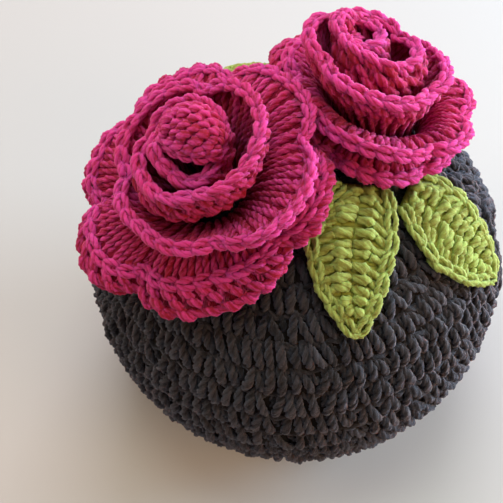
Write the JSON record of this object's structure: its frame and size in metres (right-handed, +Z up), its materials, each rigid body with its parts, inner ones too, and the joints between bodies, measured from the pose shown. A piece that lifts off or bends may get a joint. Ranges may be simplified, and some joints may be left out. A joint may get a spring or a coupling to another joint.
{
  "type": "tea cosy",
  "caption": "Ball-shaped crocheted tea cosy, hollow and open at the hem, slit for handle and spout, with rolled roses and leaves on its crown.",
  "frame": {"origin": "centre of the hem, on the surface that the cosy stands on", "axes": "+Z up through the crown, +X towards the spout slit, -X towards the handle slit, -Y towards the front"},
  "size_m": [0.1716, 0.17, 0.1691],
  "materials": {
    "grey_yarn": "matte fuzzy charcoal wool yarn, crocheted",
    "rose_yarn": "matte fuzzy magenta wool yarn, crocheted",
    "leaf_yarn": "matte fuzzy lime green wool yarn, crocheted"
  },
  "bodies": {
    "root": {"cosy_body": "grey_yarn", "rose_left": "rose_yarn", "rose_right": "rose_yarn", "leaf_front": "leaf_yarn", "leaf_right": "leaf_yarn", "leaf_back": "leaf_yarn"}
  },
  "joints": []
}
